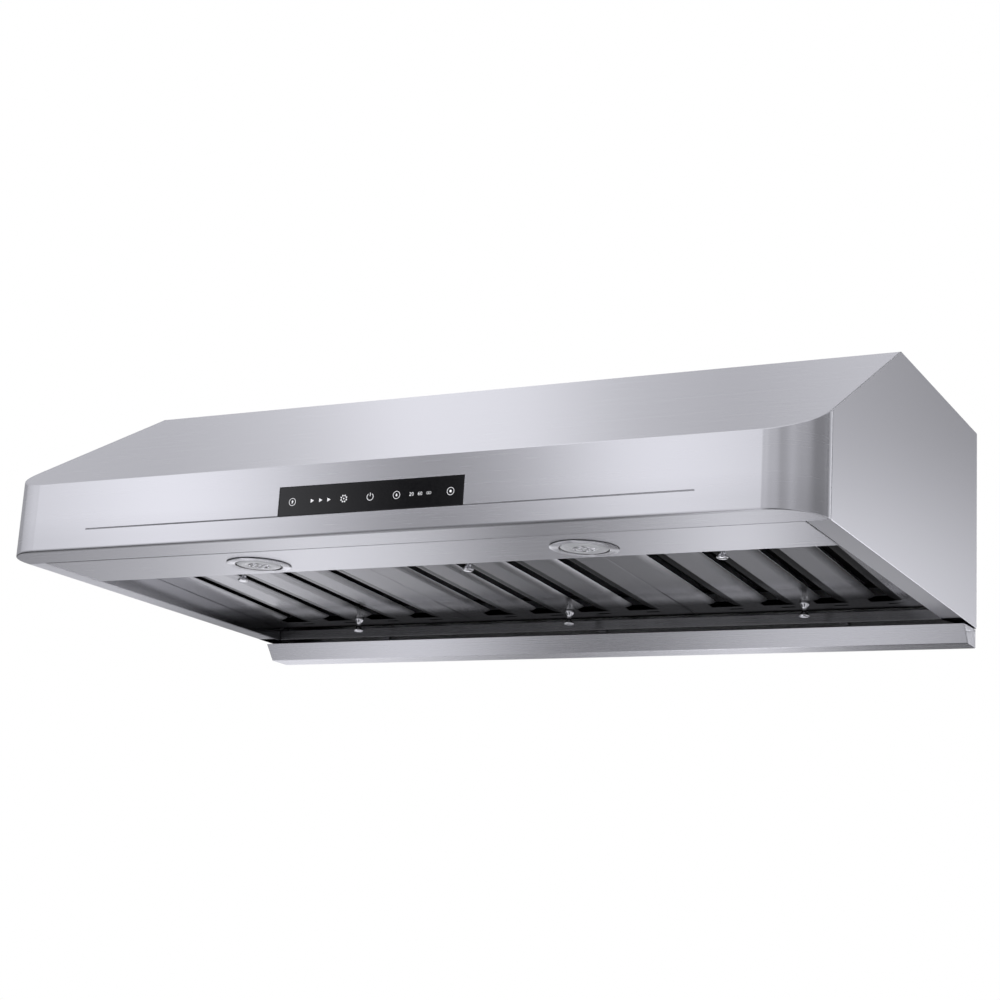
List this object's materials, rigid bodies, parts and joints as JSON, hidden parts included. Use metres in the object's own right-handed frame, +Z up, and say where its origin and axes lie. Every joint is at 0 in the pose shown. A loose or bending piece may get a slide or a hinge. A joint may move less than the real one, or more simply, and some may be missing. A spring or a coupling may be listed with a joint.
{
  "type": "under cabinet range hood",
  "caption": "Under cabinet range hood: sloped brushed steel shell, touch glass, lamps, drop-down baffle filters, oil tray and twin blowers with a top duct collar.",
  "frame": {"origin": "centre of the four cabinet screw holes, on the outer face of the top panel", "axes": "+X to the cook's right along the width, +Y to the wall, +Z up out of the top panel"},
  "size_m": [0.9, 0.565, 0.273],
  "materials": {
    "shell_steel": "horizontal brushed, satin",
    "back_sheet": "mill finish",
    "tray_steel": "horizontal brushed, satin",
    "rail_steel": "satin",
    "inner_sheet": "zinc coated, dull",
    "lamp_bezel_steel": "spun, satin",
    "lamp_lens_glass": "frosted",
    "circuit_board": "matt",
    "heat_sink": "cast, dull",
    "black_glass": "gloss",
    "black_plastic": "fine texture",
    "filter_steel": "brushed along the gaps, satin",
    "baffle_steel": "dull",
    "chrome_knob": "polished",
    "spring_steel": "satin",
    "wheel_sheet": "satin",
    "motor_enamel": "satin black",
    "shaft_steel": "ground",
    "collar_sheet": "zinc coated",
    "white_plastic": "satin",
    "cable_jacket": "matt"
  },
  "bodies": {
    "hood": {"front_fascia": "shell_steel", "top_panel": "shell_steel", "side_panel_left": "shell_steel", "side_panel_right": "shell_steel", "back_panel": "back_sheet", "light_panel": "shell_steel", "hinge_rail": "inner_sheet", "hinge_lugs": "inner_sheet", "rear_rail": "rail_steel", "lamp_bezel_left": "lamp_bezel_steel", "lamp_lens_left": "lamp_lens_glass", "lamp_board_left": "circuit_board", "lamp_housing_left": "heat_sink", "lamp_bezel_right": "lamp_bezel_steel", "lamp_lens_right": "lamp_lens_glass", "lamp_board_right": "circuit_board", "lamp_housing_right": "heat_sink", "control_glass": "black_glass", "control_board": "circuit_board", "control_housing": "black_plastic", "filter_pins": "spring_steel", "tray_clips": "spring_steel", "volute_base_left": "inner_sheet", "volute_scroll_left": "inner_sheet", "volute_cover_left": "inner_sheet", "motor_left": "motor_enamel", "volute_base_right": "inner_sheet", "volute_scroll_right": "inner_sheet", "volute_cover_right": "inner_sheet", "motor_right": "motor_enamel", "blower_posts": "shaft_steel", "outlet_manifold": "inner_sheet", "duct_collar": "collar_sheet", "damper_rod": "spring_steel", "junction_box": "inner_sheet", "junction_box_cover": "inner_sheet", "power_module": "black_plastic", "capacitors": "white_plastic", "wiring_harness": "cable_jacket", "shell_screws": "shaft_steel"},
    "filter_left": {"filter_left_face": "filter_steel", "filter_left_baffles": "baffle_steel", "filter_left_knobs": "chrome_knob", "filter_left_catch": "spring_steel"},
    "filter_centre": {"filter_centre_face": "filter_steel", "filter_centre_baffles": "baffle_steel", "filter_centre_knobs": "chrome_knob", "filter_centre_catch": "spring_steel"},
    "filter_right": {"filter_right_face": "filter_steel", "filter_right_baffles": "baffle_steel", "filter_right_knobs": "chrome_knob", "filter_right_catch": "spring_steel"},
    "tray": {"oil_tray": "tray_steel"},
    "wheel_left": {"impeller_left": "wheel_sheet", "motor_shaft_left": "shaft_steel"},
    "wheel_right": {"impeller_right": "wheel_sheet", "motor_shaft_right": "shaft_steel"},
    "damper_front": {"damper_flap_front": "collar_sheet"},
    "damper_rear": {"damper_flap_rear": "collar_sheet"}
  },
  "joints": [
    {"name": "filter_left_hinge", "type": "hinge", "parent": "hood", "child": "filter_left", "pos_m": [-0.2846, 0.098, -0.20273], "axis": [1, 0, 0], "range_deg": [0, 75]},
    {"name": "filter_centre_hinge", "type": "hinge", "parent": "hood", "child": "filter_centre", "pos_m": [0, 0.098, -0.20273], "axis": [1, 0, 0], "range_deg": [0, 75]},
    {"name": "filter_right_hinge", "type": "hinge", "parent": "hood", "child": "filter_right", "pos_m": [0.2846, 0.098, -0.20273], "axis": [1, 0, 0], "range_deg": [0, 75]},
    {"name": "oil_tray_slide", "type": "slide", "parent": "hood", "child": "tray", "axis": [0, 0, -1], "range_m": [0, 0.06]},
    {"name": "blower_wheel_left_spin", "type": "hinge", "parent": "hood", "child": "wheel_left", "pos_m": [-0.235, -0.025, -0.093], "axis": [0, 0, 1], "continuous": true},
    {"name": "blower_wheel_right_spin", "type": "hinge", "parent": "hood", "child": "wheel_right", "pos_m": [0.235, -0.025, -0.093], "axis": [0, 0, 1], "continuous": true},
    {"name": "damper_front_hinge", "type": "hinge", "parent": "hood", "child": "damper_front", "pos_m": [0, 0.04, 0.013], "axis": [-1, 0, 0], "range_deg": [0, 80]},
    {"name": "damper_rear_hinge", "type": "hinge", "parent": "hood", "child": "damper_rear", "pos_m": [0, 0.04, 0.013], "axis": [1, 0, 0], "range_deg": [0, 80]}
  ]
}
